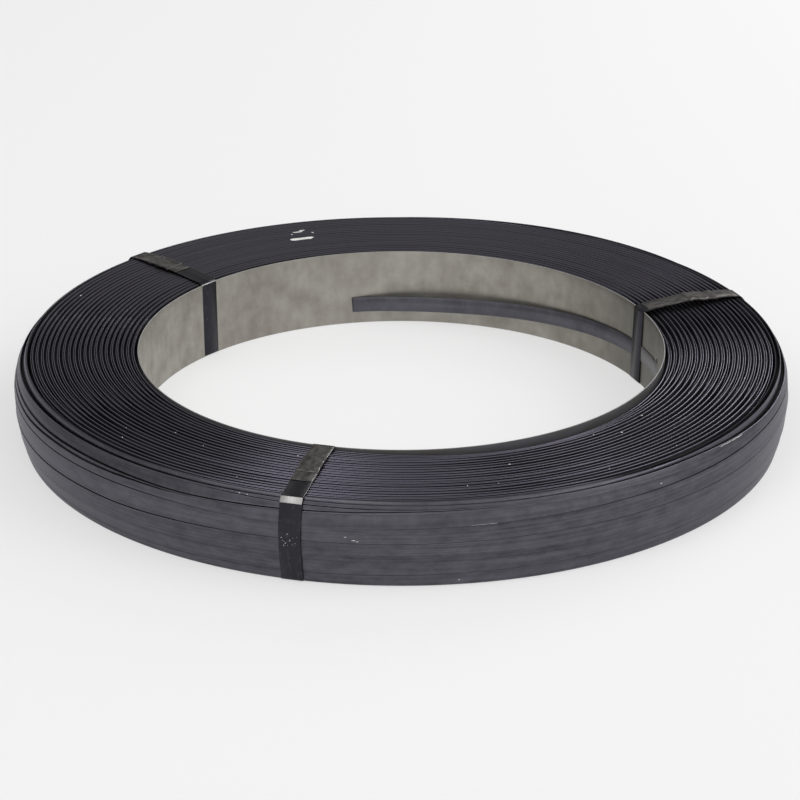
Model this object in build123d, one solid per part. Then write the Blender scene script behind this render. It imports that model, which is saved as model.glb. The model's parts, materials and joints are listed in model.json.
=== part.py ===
from build123d import *
import os
from math import cos, degrees, radians, sin, sqrt

# A coil of flat steel strapping lying on its end. The strip is wound to and fro across a bare
# steel core sleeve, so both ends show the ridges of its turns, and three crimped tie straps hold it.
# Units are millimetres. The coil's axis is Z, and the undersides of the tie straps are at zero.

# Core sleeve, as tall as the winding
bore_radius = 203.2
sleeve_wall = 0.8
coil_height = 62.8

# Wound strip: the outer wall is crowned, widest above its middle, and falls back to both edges
strip_width = 13.0
strip_thickness = 0.5
winding_depth = 95.3
top_edge_drop = 7.3
bottom_edge_drop = 6.3
crown_height_share = 0.6

# Ridges on the ends, each standing for a pair of the strip's passes, and how far the sleeve
# stands proud of the ridges next to it
ridge_pitch = 8.0
ridge_depth = 3.0
sleeve_stand = 4.2
rise_ridge_count = 3

# Inner end of the strip: through a slit in the sleeve and round the bore, in a tilted plane
tail_start_angle = 8.0
tail_end_angle = 101.8
tail_height_share = 0.37
tail_tilt_angle = 2.2
tail_rise_angle = -47.0
tail_neck_width = 3.0
slit_clearance = 0.3

# Tie straps and their crimped seals
tie_width = 16.0
tie_thickness = 0.4
tie_bend_share = 2.2
lap_length = 48.0
seal_length = 26.0
seal_wall = 0.5
seal_lip = 5.0
notch_depth = 2.0
notch_spacing = 14.0

# How far each strap is slack above the ridges where its seal sits
front_lift = 1.4
left_lift = 1.4
right_lift = 2.6
seal_lifts = {"front": front_lift, "left": left_lift, "right": right_lift}

# Where each strap goes round the coil, and where its seal sits along the end
tie_angles = {"front": -105.4, "left": 138.8, "right": 21.8}
seal_place_shares = {"front": 0.43, "left": 0.62, "right": 0.62}

# Clearance between faces that bear on each other, and the overrun of a cut
seat_gap = 0.03
overrun = 1.0

# Sizes that follow
wound_radius = bore_radius + sleeve_wall + seat_gap
crown_radius = wound_radius + winding_depth
top_edge_radius = crown_radius - top_edge_drop
bottom_edge_radius = crown_radius - bottom_edge_drop
coil_bottom = tie_thickness + seat_gap
coil_top = coil_bottom + coil_height
crown_height = coil_bottom + crown_height_share * coil_height
band_count = round(coil_height / strip_width)
ridge_count = round((top_edge_radius - wound_radius) / ridge_pitch)
tail_height = coil_bottom + tail_height_share * coil_height
tail_outer_radius = bore_radius - seat_gap
tail_inner_radius = tail_outer_radius - strip_thickness
tie_bend_radius = tie_bend_share * tie_thickness


def section(outline):
    """The face inside a closed outline of radius and height pairs, standing in the XZ plane."""
    return make_face((Plane.XZ * Polyline(*outline, close=True)).edges())


def ring(inner, outer, low, high, start=0.0, turn=360.0):
    """A turned ring, or a stretch of one, between two radii and two heights."""
    face = section([(inner, low), (outer, low), (outer, high), (inner, high)])
    return Rot(0, 0, start) * revolve(face, axis=Axis.Z, revolution_arc=turn)


def ridge_line(edge_radius, face_height, sense):
    """Feet and tips of one end, from the sleeve outwards; sense is 1 on top and -1 below."""
    pitch = (edge_radius - wound_radius) / ridge_count
    points = []
    for turn in range(ridge_count):
        sunk = sleeve_stand * max(0.0, 1.0 - turn / rise_ridge_count)
        foot_radius = wound_radius + turn * pitch
        points.append((foot_radius, face_height - sense * (sunk + ridge_depth)))
        points.append((foot_radius + pitch, face_height - sense * sunk))
    return points


def crown_line(outset=0.0):
    """Edges of the outermost turns, top to bottom: flat bands of strip that lie on the crown."""
    points = []
    for band in range(band_count - 1, 0, -1):
        height = coil_bottom + coil_height * band / band_count
        drop = top_edge_drop if height > crown_height else bottom_edge_drop
        edge_height = coil_top if height > crown_height else coil_bottom
        fall_share = (height - crown_height) / (edge_height - crown_height)
        points.append((crown_radius + outset - drop * fall_share**2, height))
    return points


def tail_slab(extra=0.0):
    """The tilted slab that the strip's inner end lies in, thicker by extra on both sides."""
    tilt = radians(tail_tilt_angle)
    rise = radians(tail_rise_angle)
    lean = (-sin(tilt) * cos(rise), -sin(tilt) * sin(rise), cos(tilt))
    span = 2 * crown_radius
    return Plane(origin=(0, 0, tail_height), z_dir=lean) * Box(span, span, strip_width + 2 * extra)


def neck_turn(extra=0.0):
    """Degrees that the strip's way through the sleeve spans, longer by extra at both ends."""
    return degrees((tail_neck_width + 2 * extra) / bore_radius)


def strip_coil():
    """All turns as one turned solid, with the strip's inner end running into the bore."""
    top_end = ridge_line(top_edge_radius, coil_top, 1)
    bottom_end = ridge_line(bottom_edge_radius, coil_bottom, -1)
    turns = revolve(section(top_end + crown_line() + bottom_end[::-1]), axis=Axis.Z)
    length_turn = tail_end_angle - tail_start_angle
    tail = ring(tail_inner_radius, tail_outer_radius, 0, coil_top, tail_start_angle, length_turn)
    neck_root = wound_radius + strip_thickness
    neck = ring(tail_inner_radius, neck_root, 0, coil_top, tail_start_angle, neck_turn())
    return turns + ((tail + neck) & tail_slab())


def core_sleeve():
    """The rolled steel sleeve, slit where the strip's inner end comes through."""
    sleeve = ring(bore_radius, bore_radius + sleeve_wall, coil_bottom, coil_top)
    start = tail_start_angle - degrees(slit_clearance / bore_radius)
    inner = bore_radius - overrun
    outer = bore_radius + sleeve_wall + overrun
    slit = ring(inner, outer, 0, coil_top, start, neck_turn(slit_clearance))
    return sleeve - (slit & tail_slab(slit_clearance))


def seal_radius(name):
    """Distance of a seal's middle from the coil's axis."""
    return bore_radius + seal_place_shares[name] * (top_edge_radius - bore_radius)


def notches(name):
    """Cutters that crimp the edges of a seal and of the strap inside it with V notches."""
    edge = tie_width / 2 + seat_gap + seal_wall
    height = 2 * (seal_lifts[name] + seal_wall + 2 * tie_thickness + overrun)
    side = sqrt(2) * notch_depth
    cutter = Rot(0, 0, 45) * Box(side, side, height)
    along = seal_radius(name)
    places = [(along + end * notch_spacing / 2, hand * edge) for end in (-1, 1) for hand in (-1, 1)]
    return [Pos(x, y, coil_top) * cutter for x, y in places]


def tie_loop(name, wall_radius, outset=0.0):
    """Outline of a strap round the coil's section, moved out by outset from its inner face."""
    chord_drop = wall_radius - sqrt(wall_radius**2 - (tie_width / 2) ** 2)
    bore_x = wall_radius - outset - (chord_drop if outset else 0.0)
    low = tie_thickness - outset
    rim = coil_top + seat_gap + outset
    slack = coil_top + seal_lifts[name] + outset
    lap_start = seal_radius(name) - lap_length / 2
    lap_end = seal_radius(name) + lap_length / 2
    top_run = [(bore_x, rim), (lap_start, slack), (lap_end, slack)]
    top_corner = (top_edge_radius + seat_gap + outset, rim)
    bottom_run = [(bottom_edge_radius + seat_gap + outset, low), (bore_x, low)]
    loop = section(top_run + [top_corner] + crown_line(seat_gap + outset) + bottom_run)
    bore_corners = loop.vertices().filter_by(lambda corner: abs(corner.X - bore_x) < seat_gap)
    return fillet(bore_corners, tie_bend_radius) if outset else loop


def tie_strap(name):
    """One strap, lapped under its seal, and bent to the curve of the bore."""
    over_tail = tail_start_angle < tie_angles[name] < tail_end_angle
    wall_radius = (tail_inner_radius if over_tail else bore_radius) - seat_gap
    band = tie_loop(name, wall_radius, tie_thickness) - tie_loop(name, wall_radius)
    strap = extrude(band, tie_width / 2, both=True)
    strap -= Cylinder(wall_radius - tie_thickness, 2 * (coil_top + coil_height))
    strap -= ring(wall_radius, wound_radius, tie_thickness, coil_top + seat_gap)
    lap_middle = coil_top + seal_lifts[name] + tie_thickness * 3 / 2
    strap += Pos(seal_radius(name), 0, lap_middle) * Box(lap_length, tie_width, tie_thickness)
    return Rot(0, 0, tie_angles[name]) * (strap - notches(name))


def crimped_seal(name):
    """A folded seal round a strap's lap, its two lips turned under and its edges notched."""
    lap_height = 2 * tie_thickness + 2 * seat_gap
    lap_width = tie_width + 2 * seat_gap
    middle = Pos(seal_radius(name), 0, coil_top + seal_lifts[name] + tie_thickness)
    seal = middle * Box(seal_length, lap_width + 2 * seal_wall, lap_height + 2 * seal_wall)
    seal -= middle * Box(seal_length + 2 * overrun, lap_width, lap_height)
    mouth_width = lap_width - 2 * seal_lip
    mouth_drop = Pos(0, 0, -(lap_height + seal_wall) / 2)
    seal -= middle * mouth_drop * Box(seal_length + 2 * overrun, mouth_width, seal_wall + seat_gap)
    return Rot(0, 0, tie_angles[name]) * (seal - notches(name))


os.makedirs("parts", exist_ok=True)
pieces = {"strip_coil": strip_coil(), "core_sleeve": core_sleeve()}
for side in tie_angles:
    pieces["strap_" + side] = tie_strap(side)
    pieces["seal_" + side] = crimped_seal(side)
for node, solid in pieces.items():
    export_step(solid, f"parts/{node}.step")
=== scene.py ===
"""The looks of a steel strip coil: blued strapping wound on a bare steel sleeve, with three ties."""

import json
import math
from contextlib import contextmanager

import bmesh
import bpy
import numpy as np
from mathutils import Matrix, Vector


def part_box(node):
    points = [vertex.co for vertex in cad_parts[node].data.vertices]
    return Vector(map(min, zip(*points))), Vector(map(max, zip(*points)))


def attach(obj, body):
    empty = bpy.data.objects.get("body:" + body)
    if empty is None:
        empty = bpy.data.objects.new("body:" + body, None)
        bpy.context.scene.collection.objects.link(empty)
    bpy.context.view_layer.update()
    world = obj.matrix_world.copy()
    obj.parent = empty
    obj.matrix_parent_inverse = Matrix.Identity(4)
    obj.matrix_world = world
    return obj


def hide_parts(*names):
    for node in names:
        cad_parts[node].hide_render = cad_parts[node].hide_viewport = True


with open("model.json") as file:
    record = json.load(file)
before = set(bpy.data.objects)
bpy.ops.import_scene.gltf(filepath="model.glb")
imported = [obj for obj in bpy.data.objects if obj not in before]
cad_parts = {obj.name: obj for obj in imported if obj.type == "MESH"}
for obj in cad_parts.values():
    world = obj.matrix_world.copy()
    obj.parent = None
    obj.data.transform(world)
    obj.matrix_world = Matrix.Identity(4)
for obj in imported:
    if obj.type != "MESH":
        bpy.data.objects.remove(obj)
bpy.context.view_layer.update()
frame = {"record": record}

bl_info = {
    "name": "Steel Strip Coil",
    "version": (1, 0, 0),
    "blender": (4, 5, 0),
    "location": "View3D > Sidebar > Strip Coil",
    "description": "Winds, ties and lights a coil of blued steel strapping",
    "category": "Object",
}

MM = 0.001
TAU = 2 * math.pi
BODY = "root"
STRAP_NAMES = ("front", "left", "right")

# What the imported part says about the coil, the sleeve and the bore
coil_low, coil_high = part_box("strip_coil")
sleeve_low, sleeve_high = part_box("core_sleeve")
bore_radius = next(
    mount["dims"]["r_mm"] for mount in frame["record"]["mounts"] if mount["name"] == "bore"
) * MM


# Small helpers for properties and colours


def linear(code):
    """A hex sRGB colour as linear red, green and blue."""
    parts = [int(code[place:place + 2], 16) / 255 for place in (1, 3, 5)]
    return tuple(part / 12.92 if part <= 0.04045 else ((part + 0.055) / 1.055) ** 2.4 for part in parts)


def length(name, description, millimetres):
    """A length that a user can change."""
    return bpy.props.FloatProperty(
        name=name, description=description, default=millimetres * MM, unit="LENGTH", precision=4
    )


def angle(name, description, degrees):
    """An angle that a user can change."""
    return bpy.props.FloatProperty(
        name=name, description=description, default=math.radians(degrees), subtype="ANGLE"
    )


def count(name, description, total):
    """A number of things that a user can change."""
    return bpy.props.IntProperty(name=name, description=description, default=total, min=1)


def amount(name, description, value):
    """A plain number that a user can change."""
    return bpy.props.FloatProperty(name=name, description=description, default=value)


def colour(name, description, code):
    """A colour that a user can change."""
    return bpy.props.FloatVectorProperty(
        name=name, description=description, default=linear(code), subtype="COLOR", size=3, min=0, max=1
    )


# Sizes and colours


class WindingSizes(bpy.types.PropertyGroup):
    """Sizes of the wound strip."""

    segments: count("Segments", "Steps round the coil", 192)
    fin_count: count("Fins", "Pairs of strip edges standing up on each end", 20)
    first_fin: length("First fin", "Radius of the innermost fin", 206.94)
    fin_pitch: length("Fin pitch", "Distance from one pair of fins to the next", 4.06)
    low_gap: length("Low gap", "Depth of the gap between the two fins of a pair", 2.2)
    gap_depth: length("Gap depth", "Depth of the gaps on the hidden end", 7.0)
    wander: length("Wander", "How far a fin strays from a true circle", 0.11)
    tilt: length("Tilt", "How far the wound end leans up at the left and down at the right", 1.5)
    ledge_reach: length("Ledge reach", "How far out the outermost fin leans", 3.4)
    fin_apart: length("Fin apart", "How much further out it is where it stands apart", 1.5)
    crown_height: length("Crown height", "Height of the widest place of the outer wall", 38.1)
    top_drop: length("Top drop", "How far the wall falls back from the crown to the top", 7.3)
    bottom_drop: length("Bottom drop", "How far the wall falls back from the crown to the bottom", 6.3)
    seam_depth: length("Seam depth", "Depth of the gaps between strips on the outer wall", 1.6)
    lip: length("Lip", "Width of a strip edge that shows on the rim", 0.7)
    bevel: length("Bevel", "Rounding of the strip edges on the wall", 0.15)


class TailSizes(bpy.types.PropertyGroup):
    """Sizes of the strip's inner end, which comes out through the sleeve."""

    strip_width: length("Strip width", "Width of the strapping", 13.0)
    strip_thickness: length("Strip thickness", "Thickness of the strapping", 0.5)
    slit_angle: angle("Slit angle", "Where the slit in the sleeve is", 8.0)
    slit_width: length("Slit width", "Width of the slit", 5.0)
    slit_above: length("Slit above", "How far the slit runs on over the strip", 3.6)
    slit_below: length("Slit below", "How far the slit runs on under the strip", 0.5)
    scraped_to: angle("Scraped to", "Angle up to which the slit scraped the strip bare", 20)
    end_slant: angle("End slant", "Angle round the coil that the slant of the free end takes up", -0.25)


class SleeveSizes(bpy.types.PropertyGroup):
    """Sizes of the sleeve that the strip is wound on."""

    segments: count("Segments", "Steps round the sleeve", 240)
    rows: count("Rows", "Steps up the sleeve", 12)
    dents: length("Dents", "How far the sheet strays from a true cylinder", 0.16)
    edge_round: length("Edge round", "Rounding of the sheet's edges", 0.12)


class StrapSizes(bpy.types.PropertyGroup):
    """Sizes of the three ties and their seals."""

    width: length("Width", "Width of a strap", 16.0)
    thickness: length("Thickness", "Thickness of a strap", 0.4)
    edge_round: length("Edge round", "Rounding of a strap's edges", 0.1)
    clearance: length("Clearance", "Gap between a strap and what it lies on", 0.08)
    wall_stand: length("Wall stand", "How far a strap stands off the outer wall", 0.9)
    shoulder_rise: length("Shoulder", "How far below the end the strap meets the wall", 3.4)
    shoulder_out: length("Shoulder reach", "How far out the slanted shoulder reaches", 3.2)
    seal_length: length("Seal length", "Length of a seal along the strap", 26.0)
    seal_wall: length("Seal wall", "Thickness of a seal's sheet", 0.6)
    notch_depth: length("Notch depth", "How far the crimping tool bites in from each edge", 2.4)
    notch_spacing: length("Notch spacing", "Distance between the two pairs of notches", 13.0)


class Finishes(bpy.types.PropertyGroup):
    """Colours of the coil's materials."""

    strip: colour("Strip", "Blued steel of the strip", "#434249")
    strip_worn: colour("Worn strip", "Where the bluing is rubbed thin", "#68676E")
    # The gap colour is painted shade for the floors of the gaps between the turns
    gap: colour("Gap", "Painted shade between the strip's turns", "#0E0E10")
    edge_dark: colour("Dark edge", "Slit edges where the bluing is thicker", "#696672")
    edge: colour("Edge", "Slit edges of the strip", "#74717E")
    sleeve: colour("Sleeve", "Bare mill steel of the sleeve", "#B2AFA7")
    # The sleeve oil colour is painted shade, laid on the sleeve round the slit
    sleeve_painted_shade: colour("Sleeve shade", "Painted shade round the slit of the sleeve", "#5F5E57")
    sleeve_dark: colour("Sleeve stain", "Blotches on the sleeve", "#847E77")
    dulled: colour("Dulled sleeve", "Outer face of the sleeve", "#5E5D5A")
    strap: colour("Strap", "Black oxide on the straps", "#323137")
    strap_worn: colour("Worn strap", "Dust and rubbing on the straps", "#48474A")
    lap: colour("Lap", "Waxed steel of the strap ends", "#62605D")
    lap_dark: colour("Lap stain", "Darker patches of the strap ends", "#353330")
    # The rubbed colour is bare steel that also carries a painted highlight on the straps' bends
    rubbed: colour("Rubbed steel", "Bare steel on the bends of the straps", "#BDBEC2")
    paint: colour("Paint", "Dried white flecks", "#F1F1EE")
    floor: colour("Floor", "Pale studio floor", "#F2F2F2")


class StageSettings(bpy.types.PropertyGroup):
    """Camera and light."""

    elevation: angle("Elevation", "Camera angle above the horizon", 22.8)
    distance: length("Distance", "Camera distance from the middle of the coil", 2252.0)
    lens: amount("Lens", "Focal length in millimetres", 129.94)
    shift_x: amount("Shift X", "Sideways shift of the frame", -0.0017)
    shift_y: amount("Shift Y", "Upward shift of the frame", -0.0255)
    sky: amount("Sky", "Strength of the light all round", 0.52)
    sky_front: amount("Sky front", "Brighter towards the front", 0.36)
    sky_right: amount("Sky right", "Brighter towards the right", 0.07)
    sky_top: amount("Sky top", "Brighter overhead", 0.04)
    soft_key: amount("Soft key", "Power of the soft lamp at the right", 18.0)
    rim_right: amount("Rim right", "Power of the lamp behind right", 13.0)
    rim_left: amount("Rim left", "Power of the lamp behind left", 1.5)
    front_glint: amount("Front glint", "Power of the lamp in front", 9.0)
    floor_white: amount("Floor white", "White added to the floor", 0.5)
    floor_radius: length("Floor radius", "Radius of the floor disc", 9000.0)


# Curves through listed points


def smooth_through(places, values, at):
    """Values at some places of a smooth curve through the given points."""
    places = np.asarray(places, float)
    values = np.asarray(values, float)
    slopes = np.gradient(values, places)
    left = np.clip(np.searchsorted(places, at, side="right") - 1, 0, len(places) - 2)
    span = places[left + 1] - places[left]
    share = np.clip((at - places[left]) / span, 0, 1)
    rest = 1 - share
    start = (1 + 2 * share) * rest ** 2 * values[left] + share * rest ** 2 * span * slopes[left]
    end = share ** 2 * (3 - 2 * share) * values[left + 1] - share ** 2 * rest * span * slopes[left + 1]
    return start + end


def round_the_coil(places, values, turn, unit=MM):
    """Values at the angles of turn of a closed curve through points given in degrees and, mostly, mm."""
    places = np.radians(places)
    values = np.multiply(values, unit)
    longer = np.concatenate((places[-2:] - TAU, places, places[:2] + TAU))
    values = np.concatenate((values[-2:], values, values[:2]))
    return smooth_through(longer, values, (turn - places[0]) % TAU + places[0])


def slow_wave(rng, turn, waves=(1, 2, 3, 5, 8)):
    """A gentle closed wander round the coil that swings about as far as 1 either way."""
    total = np.zeros_like(turn)
    for number in waves:
        total += rng.normal() / math.sqrt(number) * np.cos(number * turn + rng.uniform(0, TAU))
    return total


# Meshes

SHARP_ANGLE = math.radians(50)


def grid_object(name, points, u, v, materials, finish=None, closed=(True, True), skip=()):
    """A mesh over a grid of points, rows by columns, with its places along u and v as a UV map in metres.

    A finish for each row, each column or each face picks the material of the faces after it.
    """
    rows, columns = points.shape[:2]
    row_index, column_index = np.meshgrid(
        np.arange(rows if closed[0] else rows - 1),
        np.arange(columns if closed[1] else columns - 1),
        indexing="ij",
    )
    keep = np.ones(row_index.shape, bool)
    for row, column in skip:
        keep[row, column] = False
    row_index = row_index[keep]
    column_index = column_index[keep]
    below = row_index * columns
    above = (row_index + 1) % rows * columns
    after = (column_index + 1) % columns
    corners = np.stack((below + column_index, below + after, above + after, above + column_index), axis=1)
    mesh = bpy.data.meshes.new(name)
    mesh.from_pydata(points.reshape(-1, 3), [], corners.tolist())
    places = np.stack((
        np.stack((u[column_index], u[column_index + 1], u[column_index + 1], u[column_index]), axis=1),
        np.stack((v[row_index], v[row_index], v[row_index + 1], v[row_index + 1]), axis=1),
    ), axis=2)
    mesh.uv_layers.new(name="strip").data.foreach_set("uv", places.astype(np.float32).ravel())
    for material in materials:
        mesh.materials.append(material)
    if finish is not None:
        spread = np.broadcast_to(np.asarray(finish, np.int32), (rows, columns))
        mesh.polygons.foreach_set("material_index", spread[row_index, column_index])
    if closed[0]:
        face_outward(mesh)
    return finished_object(name, mesh)


@contextmanager
def reshaped(mesh):
    """Opens a mesh for editing and writes it back."""
    work = bmesh.new()
    work.from_mesh(mesh)
    yield work
    work.to_mesh(mesh)
    work.free()


def face_outward(mesh):
    """Turns the faces of a closed mesh outward."""
    with reshaped(mesh) as work:
        bmesh.ops.recalc_face_normals(work, faces=work.faces)


def linked(name, data):
    """A new object in the scene."""
    made = bpy.data.objects.new(name, data)
    bpy.context.scene.collection.objects.link(made)
    return made


def finished_object(name, mesh):
    """Links a mesh as an object that is smooth up to a sharp angle."""
    mesh.polygons.foreach_set("use_smooth", np.ones(len(mesh.polygons), bool))
    mesh.set_sharp_from_angle(angle=SHARP_ANGLE)
    return linked(name, mesh)


def dress(piece, slot, *nodes):
    """Lets a piece ride on the coil and stand for some nodes; the slot is not used."""
    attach(piece, BODY)
    if nodes:
        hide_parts(*nodes)


def on_circle(radius, turn, height):
    """Points from radius, angle and height."""
    return np.stack((radius * np.cos(turn), radius * np.sin(turn), height + 0 * turn), axis=-1)


def facing(turn):
    """Level directions at an angle of the coil: outward from its axis, and sideways."""
    outward = np.array((math.cos(turn), math.sin(turn), 0))
    sideways = np.array((-math.sin(turn), math.cos(turn), 0))
    return outward, sideways


# Materials


def add_node(tree, kind, inputs, **settings):
    """Adds a shader node with its settings; an input takes a value, or the node or socket that feeds it."""
    node = tree.nodes.new(kind)
    for key, value in settings.items():
        setattr(node, key, value)
    for key, value in inputs.items():
        named = [socket for socket in node.inputs if socket.enabled and socket.name == key]
        socket = node.inputs[key] if isinstance(key, int) else named[0]
        if isinstance(value, bpy.types.Node):
            value = next(output for output in value.outputs if output.enabled)
        if isinstance(value, bpy.types.NodeSocket):
            tree.links.new(value, socket)
        else:
            socket.default_value = value
    return node


def new_material(name):
    """A fresh material and its empty node tree."""
    material = bpy.data.materials.new(name)
    material.use_nodes = True
    material.node_tree.nodes.clear()
    return material, material.node_tree


def opaque(tint):
    """A colour with full alpha, as shader sockets want it."""
    return (*tint, 1.0)


WHITE = (1.0, 1.0, 1.0, 1.0)
# Blued steel stays dark where it is seen edge-on
EDGE_ON_TINT = (0.92, 0.92, 0.95, 1.0)
# Nearly all of a noise pattern lies between these values
NOISE_SPAN = {"From Min": 0.3, "From Max": 0.7}
# The whole of a noise pattern
WHOLE = (0.0, 1.0)


def grains(along, across, start=0.0, detail=2.0, rough=0.5):
    """How a pattern is laid out and drawn: grains of a size in millimetres along and across the strip."""
    scale = (1 / (along * MM), 1 / (across * MM), 1 / (across * MM))
    laid = {"Location": (start, start, 0.0), "Scale": scale}
    drawn = {"Scale": 1.0, "Detail": detail, "Roughness": rough}
    return laid, drawn


def patterned(
    name, patterns, weights, share, tints, roughness,
    relief=None, stain=None, solid=False, metallic=0.0, specular=0.5, edge_on=WHITE,
):
    """A whole finish: two colours mixed by patterns, which may set its roughness and its relief too.

    The patterns lie along the strip, or in the piece's own space if solid. They are added up by their
    weights, and over the given share of the sum the second colour takes over. Roughness is one number, or
    a pattern and the two numbers that it runs between. Relief is a pattern, its strength and its depth in
    millimetres. A stain is a function that lays a further colour over the mixed one; the sleeve's lays
    painted shade.
    """
    material, tree = new_material(name)
    if solid:
        place = add_node(tree, "ShaderNodeTexCoord", {}).outputs["Object"]
    else:
        place = add_node(tree, "ShaderNodeUVMap", {}, uv_map="strip")
    noises = {}
    for pattern, (laid, drawn) in patterns.items():
        at = add_node(tree, "ShaderNodeMapping", {"Vector": place, **laid})
        noises[pattern] = add_node(tree, "ShaderNodeTexNoise", {"Vector": at, **drawn})
    total = 0.0
    for pattern, weight in weights.items():
        total = add_node(tree, "ShaderNodeMath", {
            0: noises[pattern], 1: weight, 2: total,
        }, operation="MULTIPLY_ADD")
    mixed = add_node(tree, "ShaderNodeMapRange", {
        "Value": total, "From Min": share[0], "From Max": share[1],
    })
    tint = add_node(tree, "ShaderNodeMix", {
        "Factor": mixed, "A": opaque(tints[0]), "B": opaque(tints[1]),
    }, data_type="RGBA")
    inputs = {
        "Base Color": stain(tree, tint) if stain else tint, "Metallic": metallic, "Roughness": roughness,
        "Specular IOR Level": specular, "Specular Tint": edge_on,
    }
    if isinstance(roughness, tuple):
        pattern, low, high = roughness
        inputs["Roughness"] = add_node(tree, "ShaderNodeMapRange", {
            "Value": noises[pattern], **NOISE_SPAN, "To Min": low, "To Max": high,
        })
    if relief:
        pattern, strength, depth = relief
        inputs["Normal"] = add_node(tree, "ShaderNodeBump", {
            "Height": noises[pattern], "Strength": strength, "Distance": depth * MM,
        })
    shader = add_node(tree, "ShaderNodeBsdfPrincipled", inputs)
    add_node(tree, "ShaderNodeOutputMaterial", {"Surface": shader})
    return material


def blued_strapping(finishes):
    """Blued, waxed strapping: thin oxide on cold rolled steel, a dark bluish sheen lined by the rolling."""
    # Rolling lines are some hundredths of a millimetre wide, and are drawn coarser so that they show
    patterns = {
        "lines": grains(140, 1.6, detail=4.0),
        "scuffs": grains(16, 7, start=3.0, detail=6.0, rough=0.68),
        "bands": grains(420, 9, start=5.0),
    }
    return patterned(
        "blued_cold_rolled_strapping", patterns, {"lines": 1.0, "scuffs": 1.5, "bands": 0.9},
        share=(1.25, 2.2), tints=(finishes.strip, finishes.strip_worn), roughness=("scuffs", 0.36, 0.48),
        relief=("lines", 0.2, 0.03), metallic=1.0, edge_on=EDGE_ON_TINT,
    )


def painted_gap_shade(finishes):
    """Painted shade between the turns: a matt black film that swallows the light, on the floors of the gaps
    and of wide seams.
    """
    return patterned(
        "dried_oil_film", {"film": grains(60, 4, detail=3.0)}, {"film": 1.0},
        share=(0.45, 1.0), tints=(finishes.gap, finishes.strip), roughness=0.6, specular=0.2,
    )


def slit_edge(finishes):
    """Edges left by the slitting knives: the bluing is thin, and long thin lines of steel shine through."""
    return patterned(
        "slit_steel_edge", {"rubs": grains(110, 3, start=11.0, detail=3.0)}, {"rubs": 1.0},
        share=(0.35, 0.7), tints=(finishes.edge_dark, finishes.edge), roughness=("rubs", 0.32, 0.24),
        metallic=1.0,
    )


# Painted shade round the slit: where it starts to fade and where it ends, in mm, and how much of it there
# is
SHADE_REACH = (10, 190)
SHADE_SHARE = 0.85


def mill_steel(finishes, slit_place):
    """Bare cold rolled sheet: satin grey with an olive cast, clouded by dried oil, rubbed up and down, and
    darkened round the slit by painted shade.
    """
    def painted_shade_round_slit(tree, unshaded):
        """Painted shade, which darkens the sheet for some way round the slit, where it faces away from the
        soft key.
        """
        place = add_node(tree, "ShaderNodeUVMap", {}, uv_map="strip")
        round_sleeve = add_node(tree, "ShaderNodeSeparateXYZ", {"Vector": place}).outputs["X"]
        from_slit = add_node(tree, "ShaderNodeMath", {0: round_sleeve, 1: slit_place}, operation="SUBTRACT")
        away = add_node(tree, "ShaderNodeMath", {0: from_slit}, operation="ABSOLUTE")
        painted_shade = add_node(tree, "ShaderNodeMapRange", {
            "Value": away, "From Min": SHADE_REACH[0] * MM, "From Max": SHADE_REACH[1] * MM,
            "To Min": SHADE_SHARE, "To Max": 0.0,
        }, interpolation_type="SMOOTHSTEP")
        return add_node(tree, "ShaderNodeMix", {
            "Factor": painted_shade, "A": unshaded, "B": opaque(finishes.sleeve_painted_shade),
        }, data_type="RGBA")

    # The sheet's rolling lines are drawn coarser than they are, so that they show
    patterns = {
        "clouds": grains(26, 22, start=2.0, detail=7.0, rough=0.62),
        "rubs": grains(9, 18, start=5.0, detail=4.0),
        "broad": grains(60, 150, start=8.0),
        "lines": grains(60, 0.7),
    }
    return patterned(
        "cold_rolled_mill_sheet", patterns, {"clouds": 1.0, "rubs": 0.5, "broad": 0.8},
        share=(0.75, 1.6), tints=(finishes.sleeve, finishes.sleeve_dark), roughness=("rubs", 0.42, 0.54),
        relief=("lines", 0.2, 0.02), stain=painted_shade_round_slit, metallic=0.85,
    )


def dulled_steel(finishes):
    """The sleeve's outer face: the same sheet, dulled by the oil and wax of the strip wound on it."""
    return patterned(
        "oil_dulled_mill_sheet", {"stains": grains(40, 8, detail=4.0)}, {"stains": 1.0},
        share=(0.35, 0.75), tints=(finishes.dulled, finishes.strip_worn), roughness=("stains", 0.34, 0.44),
        metallic=0.3,
    )


def sheared_edge_and_glint(finishes):
    """The sheet's sheared edge: a narrow bright line, nicked along its length. On the front strap's sides
    along the end it is a painted highlight.
    """
    return patterned(
        "sheared_sheet_edge", {"nicks": grains(12, 12, detail=3.0)}, {"nicks": 1.0},
        share=WHOLE, tints=(finishes.sleeve, finishes.rubbed), roughness=("nicks", 0.3, 0.45),
        solid=True, metallic=0.5,
    )


def black_oxide_tie(finishes):
    """Waxed black oxide strap: nearly black, glossier than the strip, dusty where hands touched it."""
    patterns = {
        "dust": grains(6, 3, detail=5.0, rough=0.7),
        "rubs": grains(30, 2, start=4.0, detail=3.0),
    }
    return patterned(
        "black_oxide_tying_strap", patterns, {"dust": 1.0},
        share=(0.52, 0.75), tints=(finishes.strap, finishes.strap_worn), roughness=("rubs", 0.26, 0.4),
        relief=("rubs", 0.2, 0.05), metallic=0.9,
    )


def rubbed_steel_and_glint(finishes):
    """Steel rubbed bare where a strap was pulled round an edge: nearly white, lined along the pull, and
    bright enough to stand for a painted highlight on the bends.
    """
    # The lines are drawn coarser than they are, so that they show
    return patterned(
        "rubbed_bare_steel", {"lines": grains(9, 0.9, detail=3.0)}, {"lines": 1.0},
        share=WHOLE, tints=(finishes.rubbed, finishes.sleeve), roughness=("lines", 0.44, 0.54),
        metallic=1.0,
    )


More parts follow.
